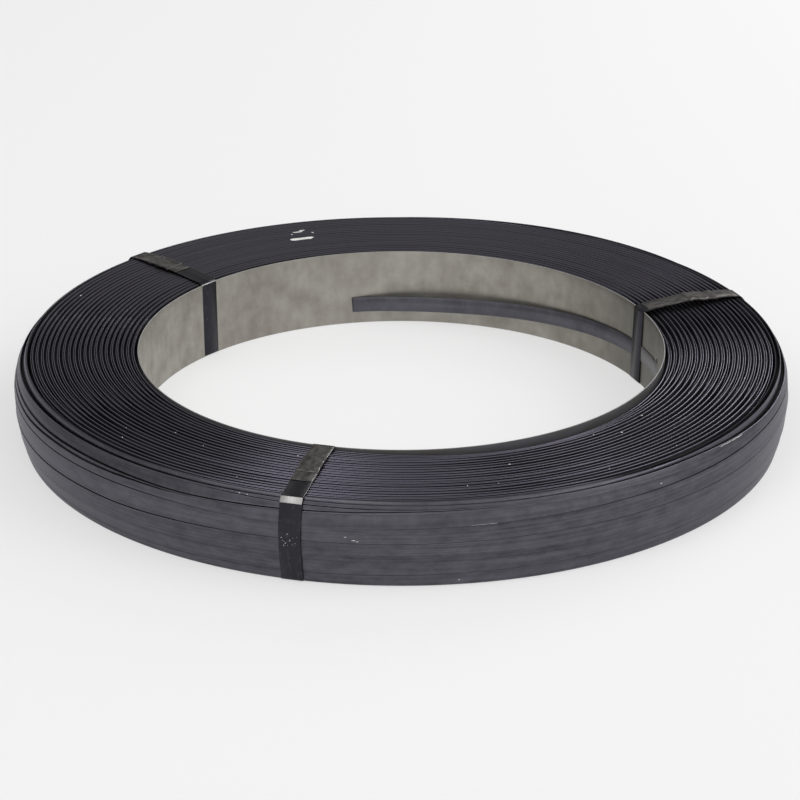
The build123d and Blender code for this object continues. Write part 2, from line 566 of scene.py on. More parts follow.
def waxed_lap(finishes):
    """Waxed steel of the strap ends and seals: olive grey, patchy where the wax is thick."""
    return patterned(
        "waxed_strap_steel", {"patches": grains(9, 5, start=6.0, detail=4.0)}, {"patches": 1.0},
        share=(0.38, 0.66), tints=(finishes.lap, finishes.lap_dark), roughness=("patches", 0.32, 0.48),
        relief=("patches", 0.2, 0.1), metallic=0.5,
    )


def dried_paint(finishes):
    """Dried flecks of white paint and dust: matt and chalky, greyer where they are thin."""
    return patterned(
        "dried_matt_paint", {"chalk": grains(2.5, 2.5, detail=3.0)}, {"chalk": 1.0},
        share=(0.5, 0.85), tints=(finishes.paint, finishes.sleeve), roughness=0.7,
        relief=("chalk", 0.3, 0.1), solid=True,
    )


# The winding

# Finishes of the wound strip: blued steel, slit edges, and painted shade on the floors of gaps and seams
BLUED, EDGE, GAP = 0, 1, 2
WINDING_SEED = 41

# Top of the wall's outermost strip: angle in degrees, then its height, the groove behind it and the
# radius of its ledge in mm
RIM_PLACES = (-165, -154, -142, -121, -107, -97, -68, -52, -43, -34, -24, -12, 20, 45, 62, 80, 97, 110, 160)
RIM_HEIGHTS = (
    59.6, 60.6, 61.3, 61.8, 61.8, 61.4, 60.4, 59.8, 59.4,
    57.6, 55.8, 55.2, 57.4, 62.2, 63.2, 62.8, 61.4, 59.6, 59.4,
)
RIM_GROOVES = (
    2.3, 2.3, 2.2, 1.7, 1.3, 1.1, 1.1, 1.1, 1.0,
    0.9, 0.7, 0.5, 0.6, 0.8, 0.9, 1.1, 1.2, 1.4, 2.0,
)
LEDGES = (
    288.4, 288.4, 288.4, 288.4, 288.4, 288.4, 288.3, 288.2, 288.1,
    288.1, 288.1, 288.1, 288.1, 288.1, 288.2, 288.2, 288.3, 288.3, 288.4,
)
# Where the outermost fin stands apart from the ledge, 1, or leans into it, 0
APART_PLACES = (-165, -62, -44, 40, 75, 150)
APART_SHARES = (0, 0, 1, 1, 0, 0)

# Seams between strips on the outer wall, from the top down: angle in degrees, height in mm, gap in mm
SEAMS = (
    (
        (-160, -140, -120, -112, -107, -97, -90, -74, -40, 20, 100),
        (57.0, 59.0, 60.8, 60.3, 59.8, 59.1, 58.8, 58.6, 56.6, 55.0, 56.0),
        (0.02, 0.02, 0.1, 0.6, 0.6, 0.6, 0.3, 0.02, 0.02, 0.02, 0.02),
    ),
    (
        (-166, -151, -142, -132, -121, -114, -107, -97, -88, -79, -70, -45, -20, 30, 90, 150),
        (52.6, 52.8, 53.7, 53.8, 53.4, 54.3, 55.3, 56.6, 57.7, 58.1, 58.0, 56.8, 53.0, 53.5, 53.5, 52.8),
        (2.0, 2.0, 1.9, 1.5, 1.2, 1.1, 1.0, 0.8, 0.6, 0.3, 0.04, 0.02, 0.02, 0.3, 1.0, 1.8),
    ),
    (
        (-168, -157, -149, -141, -134, -126, -121, -107, -88, -60, -30, 20, 90, 150),
        (48.0, 47.9, 49.6, 50.2, 51.0, 52.2, 52.5, 54.0, 55.8, 55.5, 52.0, 51.0, 49.5, 47.6),
        (1.5, 1.6, 1.5, 1.3, 1.1, 0.6, 0.04, 0.02, 0.02, 0.02, 0.02, 0.4, 0.9, 1.4),
    ),
    (
        (-165, -151, -138, -126, -115, -103, -85, -68, -56, -45, -21, 40, 110, 160),
        (42.0, 42.8, 44.5, 45.8, 45.6, 45.6, 47.0, 48.2, 48.4, 48.4, 48.9, 47.0, 44.0, 42.0),
        (1.1, 1.1, 0.9, 0.6, 0.15, 0.06, 0.06, 0.15, 0.5, 0.8, 1.3, 1.1, 0.9, 1.0),
    ),
    (
        (-165, -152, -142, -132, -121, -114, -96, -69, -50, -28, -16, 40, 110, 160),
        (26.4, 27.1, 28.7, 30.0, 32.4, 33.6, 34.8, 35.8, 35.1, 34.3, 35.0, 33.0, 28.5, 26.0),
        (0.9, 0.9, 0.8, 0.6, 0.45, 0.2, 0.06, 0.05, 0.05, 0.35, 0.5, 0.5, 0.8, 0.9),
    ),
    (
        (-160, -135, -121, -107, -95, -63, -50, 30, 110, 165),
        (12.8, 16.3, 18.4, 20.4, 21.0, 19.7, 19.3, 18.0, 15.0, 12.6),
        (0.3, 0.14, 0.08, 0.05, 0.05, 0.05, 0.05, 0.3, 0.4, 0.4),
    ),
    (
        (-140, -100, -69, -30, 60, 150),
        (4.6, 9.2, 10.4, 9.6, 6.4, 4.2),
        (0.08, 0.05, 0.05, 0.08, 0.3, 0.3),
    ),
)
# The narrowest seam in mm, and how wide one is before its inside gets painted shade, fully rounded and
# fully deep
CLOSED_SEAM = 0.02
DARK_SEAM = 0.25
ROUND_SEAM = 0.3
DEEP_SEAM = 0.6
# The least shares of the rounding and of the depth that a closed seam keeps
LEAST_ROUND = 0.15
LEAST_DEPTH = 0.05
# How far each strip of the wall stands out in mm, and the shares of its height that get a row
BAND_STANDS = (0.0, 0.0, -0.15, 0.05, -0.1, 0.1, -0.06, 0.02)
BAND_SHARES = (0, 0.06, 0.5, 0.94, 1)

# How far the innermost fins sink under the sleeve's edge: angle in degrees, drop in mm
SINK_PLACES = (-150, -90, -70, -30, 20, 100, 170)
SINK_DROPS = (1.0, 1.6, 3.0, 3.0, 0.8, 0.2, 0.6)
SINK_SHARES = (1.5, 1.0, 0.45, 0.15)

# How each pair of fins stands, in mm by angle in degrees: the far side is pressed flat and nearly closed
FIN_PLACES = (-165, -145, -115, -80, -58, -40, -20, -4, 15, 32, 50, 100, 140, 155, 170)
FIN_SHAPES = {
    "width": (0.9, 0.95, 1.2, 1.0, 0.95, 1.05, 0.95, 1.0, 0.95, 1.25, 1.5, 1.85, 1.8, 1.4, 0.95),
    "space": (0.55, 0.6, 0.3, 0.3, 0.4, 0.45, 0.5, 0.7, 0.4, 0.75, 0.5, 0.12, 0.14, 0.22, 0.35),
    "low_width": (0.8, 0.6, 0.95, 0.85, 0.7, 0.6, 0.5, 0.95, 0.7, 1.2, 1.5, 1.85, 1.8, 1.4, 0.9),
    "low_drop": (0.6, 2.4, 0.9, 0.8, 1.8, 3.0, 3.8, 0.5, 2.0, 0.3, 0.15, 0.1, 0.15, 0.3, 0.5),
    "gap_depth": (5.0, 10.0, 4.5, 5.0, 7.0, 9.0, 12.0, 4.0, 8.0, 5.0, 3.0, 2.0, 2.0, 3.0, 4.0),
    "rounding": (0.3, 0.32, 0.42, 0.3, 0.26, 0.28, 0.3, 0.26, 0.32, 0.24, 0.16, 0.12, 0.12, 0.14, 0.16),
}
# Angles in degrees of the points round a fin's rounded tip
TIP_ANGLES = (180, 135, 90, 45, 0)
# How far a fin widens downward and the least depth of a gap below its lower fin, in mm
FIN_LEAN = 0.06
LEAST_GAP = 0.7
# Plainer fins of the hidden end, in mm: width of a fin, gap inside a pair, and how unevenly they lie
HIDDEN_FIN = 1.0
HIDDEN_GAP = 0.6
HIDDEN_LIFT = 0.2
# Width of the lower fin there as a share of a fin, and the share of the wander that its fins stray
HIDDEN_LOW = 0.7
HIDDEN_STRAY = 0.5
# Depth of the recess at the sleeve, as a share of the gaps on the hidden end
RECESS_SHARE = 1.2
# Shares of the wander: how much calmer the far side is, a fin's own stray, and the one that all share
FAR_CALM = 0.6
OWN_STRAY = 0.6
SHARED_STRAY = 0.5
# How much the drop to the lower fin varies from fin to fin and along a fin, and the depth of the gaps
DROP_SPREAD = 0.12
DROP_SWING = 0.1
DROP_LIMITS = (0.6, 1.4)
GAP_LIMITS = (0.85, 1.15)


def end_height(sizes, turn):
    """Height of the wound end, which leans a little across the coil."""
    return coil_high.z - sizes.tilt * np.cos(turn)


def crown(sizes, height):
    """Radius of the outer wall at a height."""
    above = (height - sizes.crown_height) / (coil_high.z - sizes.crown_height)
    below = (sizes.crown_height - height) / (sizes.crown_height - coil_low.z)
    drop = np.where(above > 0, sizes.top_drop * above ** 2, sizes.bottom_drop * below ** 2)
    return coil_high.x - drop


def fin_shapes(turn):
    """Widths and depths of a pair of fins at the angles of turn."""
    return {name: round_the_coil(FIN_PLACES, values, turn) for name, values in FIN_SHAPES.items()}


def rounded_tip(middle, half, depth, rounding):
    """Points over a fin's rounded tip: distance out, depth, and the finish after the point."""
    points = []
    for place, degrees in enumerate(TIP_ANGLES):
        out = half * math.cos(math.radians(degrees))
        down = rounding * (1 - math.sin(math.radians(degrees)))
        points.append((middle + out, depth + down, GAP if place == len(TIP_ANGLES) - 1 else EDGE))
    return points


def fin_outline(sizes, shape, low_drop, gap_depth):
    """One pair of fins: distance out from its middle, depth under its tip, and finish after the point."""
    half = shape["width"] / 2
    low_half = shape["low_width"] / 2
    low_middle = half + shape["space"] + low_half
    lean = FIN_LEAN * MM
    deep = np.maximum(gap_depth, low_drop + LEAST_GAP * MM)
    shallow = np.minimum(low_drop + sizes.low_gap, deep)
    return [
        *rounded_tip(0, half, 0, shape["rounding"]),
        (half + lean, shallow, GAP),
        (low_middle - low_half - lean, shallow, GAP),
        *rounded_tip(low_middle, low_half, low_drop, shape["rounding"]),
        (low_middle + low_half + lean, deep, GAP),
        (sizes.fin_pitch - half - lean, deep, GAP),
    ]


def hidden_fin_outline(sizes):
    """A plainer pair of fins for the end that the coil lies on."""
    fin = HIDDEN_FIN * MM
    gap = HIDDEN_GAP * MM
    return (
        (-fin / 2, 0, EDGE),
        (fin / 2, 0, BLUED),
        (fin / 2 + gap / 2, 2 * fin, BLUED),
        (fin / 2 + gap, fin, EDGE),
        ((0.5 + HIDDEN_LOW) * fin + gap, fin, BLUED),
        ((sizes.fin_pitch + HIDDEN_LOW * fin + gap) / 2, sizes.gap_depth, BLUED),
    )


def top_rows(sizes, turn, rng):
    """Rows of the finned top end, from the sleeve out to the rim."""
    rows = []
    end = end_height(sizes, turn)
    sink = round_the_coil(SINK_PLACES, SINK_DROPS, turn)
    shape = fin_shapes(turn)
    shared = slow_wave(rng, turn)
    wander = sizes.wander * (1 - FAR_CALM * np.maximum(np.sin(turn), 0))
    recess = end - sink - RECESS_SHARE * sizes.gap_depth
    rows.append((sleeve_high.x + 0 * turn, recess, GAP))
    rows.append((sizes.first_fin - shape["width"], recess, GAP))
    for number in range(sizes.fin_count):
        stray = wander * (OWN_STRAY * slow_wave(rng, turn) + SHARED_STRAY * shared)
        middle = sizes.first_fin + number * sizes.fin_pitch + stray
        share = SINK_SHARES[number] if number < len(SINK_SHARES) else 0
        tip = end - share * sink + wander * (OWN_STRAY * rng.normal() + SHARED_STRAY * slow_wave(rng, turn))
        varied = 1 + DROP_SPREAD * rng.normal() + DROP_SWING * slow_wave(rng, turn)
        low_drop = shape["low_drop"] * np.clip(varied, *DROP_LIMITS)
        gap_depth = shape["gap_depth"] * rng.uniform(*GAP_LIMITS)
        outline = fin_outline(sizes, shape, low_drop, gap_depth)
        last = number == sizes.fin_count - 1
        for out, depth, finish in outline[:-1] if last else outline:
            rows.append((middle + out, tip - depth, finish))
    return rows


# Outermost fin: share of its lean, its distance out and depth in mm where it stands apart, and the finish
OUTER_FIN = (
    (0, 0, 0, GAP),
    (0.06, 0.2, 6.0, GAP),
    (0.2, 2.4, 6.0, GAP),
    (0.4, 2.6, 0.5, EDGE),
    (0.6, 2.8, 0.2, EDGE),
    (0.8, 3.3, 0.2, EDGE),
    (0.94, 3.5, 0.5, BLUED),
    (1, 3.7, 0, GAP),
)
# How far its foot stands over the rim as a share of the groove, and the groove's depth in seam depths
FOOT_RISE = 0.2
GROOVE_DEPTH = 2
# The least step down from one edge to the next, in bevels
LEAST_STEP = 4


def rim_rows(sizes, turn, rim):
    """Rows of the outermost fin, which leans on the wall, the groove behind the rim, and the rim's edge."""
    end = end_height(sizes, turn)
    groove = round_the_coil(RIM_PLACES, RIM_GROOVES, turn)
    ledge = round_the_coil(RIM_PLACES, LEDGES, turn)
    apart = np.clip(round_the_coil(APART_PLACES, APART_SHARES, turn, unit=1), 0, 1)
    bevel = sizes.bevel
    inner = crown(sizes, rim) - sizes.lip
    foot = np.minimum(inner - groove, ledge + sizes.ledge_reach + apart * sizes.fin_apart)
    foot_height = np.minimum(rim + FOOT_RISE * groove, end - LEAST_STEP * bevel)
    floor = rim - GROOVE_DEPTH * sizes.seam_depth
    rows = [
        (ledge - bevel, end - sizes.gap_depth, GAP),
        (ledge, end - bevel, EDGE),
        (ledge + bevel, end, EDGE),
    ]
    tip = ledge + sizes.lip
    for share, out, depth, finish in OUTER_FIN:
        leaning_radius = (1 - share) * tip + share * foot
        leaning_height = (1 - share ** 2) * end + share ** 2 * foot_height
        standing_radius = np.minimum(tip + out * MM, foot - (1 - share) * bevel)
        standing_height = foot_height if share == 1 else end - depth * MM
        rows.append((
            (1 - apart) * leaning_radius + apart * standing_radius,
            (1 - apart) * leaning_height + apart * standing_height,
            np.where(apart > 0.5, finish, BLUED),
        ))
    rows += [
        (foot + bevel / 3, floor, GAP),
        (inner - bevel, floor, GAP),
        (inner, rim - bevel, EDGE),
        (inner + bevel, rim, EDGE),
        (crown(sizes, rim) - bevel, rim, EDGE),
    ]
    return rows


def wall_rows(sizes, turn):
    """Rows of the outer wall from its rim down: flat strips with a gap at each seam."""
    rim = round_the_coil(RIM_PLACES, RIM_HEIGHTS, turn)
    rows = rim_rows(sizes, turn, rim)
    upper = rim - sizes.bevel
    for (places, heights, gaps), stand in zip(SEAMS, BAND_STANDS):
        gap = np.maximum(round_the_coil(places, gaps, turn), CLOSED_SEAM * MM)
        bevel = sizes.bevel * np.clip(gap / (ROUND_SEAM * MM), LEAST_ROUND, 1)
        seam = round_the_coil(places, heights, turn)
        seam = np.minimum(seam, upper - gap / 2 - LEAST_STEP * sizes.bevel)
        rows += band_rows(sizes, upper, seam + gap / 2 + bevel, stand * MM)
        depth = sizes.seam_depth * np.clip(gap / (DEEP_SEAM * MM), LEAST_DEPTH, 1)
        floor = crown(sizes, seam) + stand * MM - depth
        lip = crown(sizes, seam) + stand * MM - bevel / 2
        # A wide seam gets painted shade inside
        inside = np.where(gap > DARK_SEAM * MM, GAP, BLUED)
        rows += [
            (lip, seam + gap / 2, inside),
            (floor, seam + gap / 4, inside),
            (floor, seam - gap / 4, inside),
            (lip, seam - gap / 2, BLUED),
        ]
        upper = seam - gap / 2 - bevel
    foot = coil_low.z + sizes.bevel
    rows += band_rows(sizes, upper, foot + 0 * turn, BAND_STANDS[-1] * MM)
    return rows


def band_rows(sizes, upper, lower, stand):
    """Rows of one flat strip between two heights."""
    rows = []
    for share in BAND_SHARES:
        radius = (1 - share) * crown(sizes, upper) + share * crown(sizes, lower) + stand
        rows.append((radius, (1 - share) * upper + share * lower, BLUED))
    return rows


def bottom_rows(sizes, turn, rng):
    """Rows of the hidden end, from the wall in to the sleeve."""
    rows = []
    outline = hidden_fin_outline(sizes)
    for number in range(sizes.fin_count + 1):
        stray = HIDDEN_STRAY * sizes.wander * slow_wave(rng, turn)
        middle = sizes.first_fin + number * sizes.fin_pitch + stray
        lift = HIDDEN_LIFT * MM * (1 + math.cos(rng.uniform(0, TAU)))
        last = number == sizes.fin_count
        for out, depth, finish in outline[:2] if last else outline:
            rows.append((middle + out, coil_low.z + lift + depth + 0 * turn, finish))
    rows.reverse()
    rows.append((sleeve_high.x + 0 * turn, coil_low.z + sizes.gap_depth + 0 * turn, GAP))
    return rows


def wind_strip(sizes, materials):
    """The wound body of the coil as one closed ring."""
    rng = np.random.default_rng(WINDING_SEED)
    start = strap_angle("left")
    turn = start + np.arange(sizes.segments) * TAU / sizes.segments
    rows = top_rows(sizes, turn, rng) + wall_rows(sizes, turn) + bottom_rows(sizes, turn, rng)
    radius = np.array([row[0] for row in rows])
    height = np.array([row[1] for row in rows])
    finish = np.array([row[2] + 0 * turn for row in rows])
    points = on_circle(radius, turn[None, :], height)
    steps = np.hypot(np.diff(radius, axis=0, append=radius[:1]), np.diff(height, axis=0, append=height[:1]))
    v = np.concatenate(([0], np.cumsum(steps.mean(axis=1))))
    u = np.arange(sizes.segments + 1) * TAU / sizes.segments * coil_high.x
    return grid_object("wound_strip", points, u, v, materials, finish)


# The strip's inner end: angle in degrees, distance off the bore wall and height of its lower edge in mm
TAIL_PLACES = (4, 7, 9, 12, 22, 41, 53, 65, 76, 88, 97, 101.8)
TAIL_BOWS = (-1.5, -1.0, 0.35, 0.45, 0.45, 1.9, 3.8, 6.0, 8.0, 6.8, 2.6, 0.5)
TAIL_EDGES = (21.7, 21.5, 21.3, 21.1, 20.4, 17.7, 15.6, 13.9, 12.8, 11.9, 11.0, 10.4)
# Steps along it, and the rounding of its edges in mm
TAIL_STEPS = 90
TAIL_ROUND = 0.1


def flat_section(width, thickness, edge_round):
    """Outline of a flat strip's cut end: across, through."""
    half = width / 2
    deep = thickness / 2
    return (
        (-half, edge_round - deep), (-half + edge_round, -deep),
        (half - edge_round, -deep), (half, edge_round - deep),
        (half, deep - edge_round), (half - edge_round, deep),
        (-half + edge_round, deep), (-half, deep - edge_round),
    )


def tail_edge(places):
    """Height of the tail's lower edge at some angles in degrees."""
    return smooth_through(TAIL_PLACES, np.multiply(TAIL_EDGES, MM), places)


def draw_tail(sizes, materials):
    """The strip's inner end, out through the sleeve and bowed off the bore wall."""
    places = np.linspace(TAIL_PLACES[0], TAIL_PLACES[-1], TAIL_STEPS)
    bow = smooth_through(TAIL_PLACES, np.multiply(TAIL_BOWS, MM), places)
    middle = tail_edge(places) + sizes.strip_width / 2
    rows = []
    slant = np.zeros_like(places)
    slant[-1] = sizes.end_slant / sizes.strip_width
    for across, through in flat_section(sizes.strip_width, sizes.strip_thickness, TAIL_ROUND * MM):
        turn = np.radians(places) - slant * across
        rows.append(on_circle(bore_radius - bow - through, turn, middle + across))
    points = np.stack(rows)
    u = np.radians(places) * bore_radius
    v = np.linspace(0, 2 * sizes.strip_width, len(rows) + 1)
    scraped = np.radians(places) < sizes.scraped_to
    finish = np.where(scraped, 1, 0)
    tail = grid_object("strip_inner_end", points, u, v, materials, finish, closed=(True, False))
    close_ends(tail.data)
    return tail


def close_ends(mesh):
    """Caps the open ends of a swept strip."""
    with reshaped(mesh) as work:
        bmesh.ops.holes_fill(work, edges=[edge for edge in work.edges if edge.is_boundary])
        bmesh.ops.recalc_face_normals(work, faces=work.faces)


# The sleeve

DENT_SEED = 7
# Waves round the sleeve of the dents at its top and at its bottom
TOP_DENTS = (2, 3, 5, 9, 14)
BOTTOM_DENTS = (2, 4, 7, 11)
# Rows nearer to an end of the slit than this, in mm, are left out
SLIT_CLEAR = 1


def roll_sleeve(sizes, tail, materials):
    """The rolled sheet that the strip is wound on, with the slit that lets the strip's end through."""
    rng = np.random.default_rng(DENT_SEED)
    start = strap_angle("left")
    half_slit = tail.slit_width / 2 / bore_radius
    slit = (tail.slit_angle - start) % TAU
    even = np.arange(sizes.segments) * TAU / sizes.segments
    away = even[np.abs(even - slit) > 2 * half_slit]
    columns = np.sort(np.concatenate((away, (slit - half_slit, slit + half_slit))))
    edge = tail_edge(math.degrees(tail.slit_angle))
    slit_low = edge - tail.slit_below
    slit_high = edge + tail.strip_width + tail.slit_above
    even_heights = np.linspace(sleeve_low.z, sleeve_high.z, sizes.rows)
    clear = SLIT_CLEAR * MM
    far = (np.abs(even_heights - slit_low) > clear) & (np.abs(even_heights - slit_high) > clear)
    heights = np.sort(np.concatenate((even_heights[far], (slit_low, slit_high))))
    turn = start + columns
    rise = np.linspace(0, 1, len(heights))[:, None]
    dents = rise * slow_wave(rng, turn, TOP_DENTS) + (1 - rise) * slow_wave(rng, turn, BOTTOM_DENTS)
    radius = bore_radius + 0.5 * sizes.dents * dents
    points = on_circle(radius, np.broadcast_to(turn, radius.shape), heights[:, None])
    first_column = np.searchsorted(columns, slit - half_slit)
    first_row = np.searchsorted(heights, slit_low)
    last_row = np.searchsorted(heights, slit_high)
    skip = [(row, first_column) for row in range(first_row, last_row)]
    u = np.append(columns, TAU) * bore_radius
    sleeve = grid_object("rolled_sleeve", points, u, heights, materials, closed=(False, True), skip=skip)
    sheet = sleeve.modifiers.new("sheet", "SOLIDIFY")
    sheet.thickness = sleeve_high.x - bore_radius
    sheet.offset = 1.0
    # The materials are the outer face's, the inner face's and the rim's
    sheet.material_offset = 1
    sheet.material_offset_rim = 2
    rounding = sleeve.modifiers.new("edges", "BEVEL")
    rounding.width = sizes.edge_round
    rounding.segments = 2
    rounding.limit_method = "ANGLE"
    rounding.angle_limit = SHARP_ANGLE
    return sleeve


# The straps

# Finishes of a strap: black oxide, the sheared edge laid on chosen sides as a painted highlight, and bare
# steel on the bends that also carries a painted highlight
OXIDE, SHEARED_GLINT, RUBBED_AND_GLINT = 0, 1, 2
# In mm for each strap: lift at some radii of the end, radii of its lap's ends, and gap off the bore wall
LIFT_RADII = (206, 216, 230, 246, 254, 262, 270, 280, 288)
STRAP_LIFTS = {
    "front": (0.3, 0.6, 1.0, 1.2, 1.0, 0.7, 0.4, 0.2, 0.3),
    "left": (0.3, 0.5, 0.8, 1.2, 1.5, 1.4, 1.0, 0.5, 0.3),
    "right": (0.3, 1.0, 2.0, 3.2, 2.4, 1.5, 1.8, 1.0, 0.3),
}
LAP_ENDS = {"front": (207, 268), "left": (236, 289), "right": (208, 290)}
BORE_GAPS = {"front": 0.4, "left": 0.4, "right": 1.1}
# Sideways drift of each strap in mm: low in the bore, at the sleeve's edge, midway on the end, on the wall
DRIFTS = {"front": (2.2, -0.8, 0, 2.8), "left": (6.0, 6.8, -0.5, 0.9), "right": (-1.0, -5.0, 1.6, 0.0)}
# How far each strap sways from side to side along the end, in mm, and how fast from corner to corner
SWAYS = {"front": 0.3, "left": 0.3, "right": 0.9}
SWAY_STEP = 1.9
# Reach of the bends in mm, and the share of a run that one bend may take up
TIGHT_BEND = 2.0
CRISP_BEND = 0.8
GENTLE_BEND = 30
BEND_LIMIT = 0.48
# Steps round a bend, and which bends are at the sleeve's edge and at the shoulder
BEND_STEPS = 6
SLEEVE_BEND = 1
SHOULDER_BEND = 2 + len(LIFT_RADII)
# Straps that are rubbed bare at the sleeve's edge, where the bare steel also stands for a painted
# highlight, and those whose sides carry a painted highlight along the end
RUBBED_AND_GLINT_SLEEVE_BENDS = ("left",)
GLINT_SIDES = ("front",)
# Gap in mm between the shoulder and the wound end's edge, and shares of the height with a wall corner
SHOULDER_GAP = 0.5
WALL_SHARES = np.linspace(0.75, 0.06, 7)
# Steps along a lap, its margin inside the coil's edge and how much narrower than the strap it is, in mm
LAP_STEPS = 28
LAP_MARGIN = 5
LAP_NARROWER = 0.4
# Cuts across a seal, and the tool's bite: width and drop in mm, and the share of the width it starts at
SEAL_CUTS = 7
BITE_WIDTH = 1.8
BITE_DROP = 0.7
BITE_START = 0.55
# Rows of a flat section that are its two sides, and its outer face
SIDE_ROWS = (3, 4, 6, 7)
OUTER_ROW = 5


def strap_angle(name):
    """Angle of a strap round the coil, from its CAD solid."""
    low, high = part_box("strap_" + name)
    return math.atan2(low.y + high.y, low.x + high.x)


def seal_radius(name):
    """Distance of a seal's middle from the coil's axis, from its CAD solid."""
    low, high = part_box("seal_" + name)
    return math.hypot(low.x + high.x, low.y + high.y) / 2


def bent(corners):
    """Points of a closed route through corners, each rounded by its own reach along the runs beside it."""
    points = []
    total = len(corners)
    for place, corner in enumerate(corners):
        spot = np.array(corner[:3])
        before = np.array(corners[place - 1][:3]) - spot
        after = np.array(corners[(place + 1) % total][:3]) - spot
        reach_before = min(corner[3], BEND_LIMIT * np.linalg.norm(before)) / np.linalg.norm(before)
        reach_after = min(corner[3], BEND_LIMIT * np.linalg.norm(after)) / np.linalg.norm(after)
        for share in np.linspace(0, 1, BEND_STEPS):
            start = spot + (1 - share) * reach_before * before
            end = spot + share * reach_after * after
            points.append((1 - share) * start + share * end)
    return np.array(points)


def strap_route(name, sizes, winding):
    """Closed route of a strap: distance from the axis, height, sideways drift and reach of each bend."""
    turn = strap_angle(name)
    lift = sizes.clearance + sizes.thickness / 2
    inner = bore_radius - BORE_GAPS[name] * MM
    end = float(end_height(winding, turn))
    floor = sizes.thickness / 2
    low_drift, high_drift, top_drift, outer_drift = (drift * MM for drift in DRIFTS[name])
    tight = TIGHT_BEND * MM
    crisp = CRISP_BEND * MM
    gentle = GENTLE_BEND * MM
    corners = [
        (inner, floor, low_drift, tight),
        (inner, sleeve_high.z + lift, high_drift, tight),
    ]
    for place, (radius, rise) in enumerate(zip(LIFT_RADII, STRAP_LIFTS[name])):
        share = (radius - LIFT_RADII[0]) / (LIFT_RADII[-1] - LIFT_RADII[0])
        level = (1 - share) * max(end, sleeve_high.z) + share * end
        drift = (1 - share) * high_drift + share * outer_drift + 4 * share * (1 - share) * top_drift
        drift += SWAYS[name] * MM * math.sin(SWAY_STEP * place)
        corners.append((radius * MM, level + rise * MM + lift, drift, gentle))
    shoulder = crown(winding, coil_high.z) + SHOULDER_GAP * MM
    corners.append((shoulder, end + lift, outer_drift, crisp))
    corners.append((shoulder + sizes.shoulder_out, end - sizes.shoulder_rise, outer_drift, crisp))
    for height in WALL_SHARES * coil_high.z:
        stand = float(crown(winding, height)) + sizes.wall_stand
        corners.append((stand, height, outer_drift, gentle))
    corners.append((float(crown(winding, coil_low.z)) + sizes.wall_stand, floor, low_drift, tight))
    return corners


def sweep(name, route, turn, section, closed, materials, finish=None):
    """A flat section swept along a route in the upright plane at an angle."""
    ahead = np.roll(route, -1, axis=0) - route
    behind = np.roll(ahead, 1, axis=0)
    if not closed:
        ahead[-1] = ahead[-2]
        behind[0] = ahead[0]
    along = ahead / np.linalg.norm(ahead, axis=1, keepdims=True)
    along += behind / np.linalg.norm(behind, axis=1, keepdims=True)
    along /= np.linalg.norm(along, axis=1, keepdims=True)
    outward, sideways = facing(turn)
    upward = np.array((0, 0, 1))
    through = -along[:, 1:2] * outward + along[:, 0:1] * upward
    spine = route[:, 0:1] * outward + route[:, 1:2] * upward + route[:, 2:3] * sideways
    points = np.stack([spine + across * sideways + deep * through for across, deep in section])
    run = np.concatenate(([0], np.cumsum(np.linalg.norm(ahead, axis=1))))
    around = np.array(section + section[:1])
    v = np.concatenate(([0], np.cumsum(np.linalg.norm(np.diff(around, axis=0), axis=1))))
    piece = grid_object(name, points, run, v, materials, finish, closed=(True, closed))
    if not closed:
        close_ends(piece.data)
    return piece


def side_finish(name, columns, start, stop):
    """Finish of each face of a swept strip, whose two sides may be bright between two columns: a painted
    highlight in the sheared edge's finish.
    """
    finish = np.full((2 * len(SIDE_ROWS), columns), OXIDE, np.int32)
    if name in GLINT_SIDES:
        # The sides carry a painted highlight here
        finish[SIDE_ROWS, start:stop] = SHEARED_GLINT
    return finish


def tie_strap(name, sizes, winding, materials):
    """One strap, bent closely round the coil and rubbed bare on its tightest bends, where the bare steel
    also carries a painted highlight.
    """
    section = flat_section(sizes.width, sizes.thickness, sizes.edge_round)
    route = bent(strap_route(name, sizes, winding))
    finish = side_finish(name, len(route), SLEEVE_BEND * BEND_STEPS, SHOULDER_BEND * BEND_STEPS)
    shoulder = SHOULDER_BEND * BEND_STEPS + BEND_STEPS // 2
    # The shoulder and the left strap's sleeve bend get bare steel that also stands for a painted highlight
    finish[OUTER_ROW, shoulder:shoulder + BEND_STEPS] = RUBBED_AND_GLINT
    if name in RUBBED_AND_GLINT_SLEEVE_BENDS:
        bend = SLEEVE_BEND * BEND_STEPS
        finish[OUTER_ROW, bend + 2:bend + 3] = RUBBED_AND_GLINT
    return sweep("tie_" + name, route, strap_angle(name), section, True, materials, finish)


def top_run(name, sizes, winding, start, stop, raised):
    """The stretch of a strap's route along the end between two radii, raised off the strap."""
    route = bent(strap_route(name, sizes, winding))
    highest = int(np.argmax(route[:, 1] > sleeve_high.z))
    run = route[highest:]
    past = int(np.argmax(run[:, 0] > coil_high.x - LAP_MARGIN * MM))
    run = run[:past]
    radii = np.linspace(start, stop, LAP_STEPS)
    heights = np.interp(radii, run[:, 0], run[:, 1]) + raised
    drifts = np.interp(radii, run[:, 0], run[:, 2])
    return np.stack((radii, heights, drifts), axis=1)


def lay_lap(name, sizes, winding, materials):
    """The strap's overlapping end, which lies on the strap along the top."""
    start, stop = (radius * MM for radius in LAP_ENDS[name])
    run = top_run(name, sizes, winding, start, stop, sizes.thickness + sizes.clearance)
    section = flat_section(sizes.width - LAP_NARROWER * MM, sizes.thickness, sizes.edge_round)
    finish = side_finish(name, len(run), 0, len(run))
    return sweep("lap_" + name, run, strap_angle(name), section, False, materials, finish)


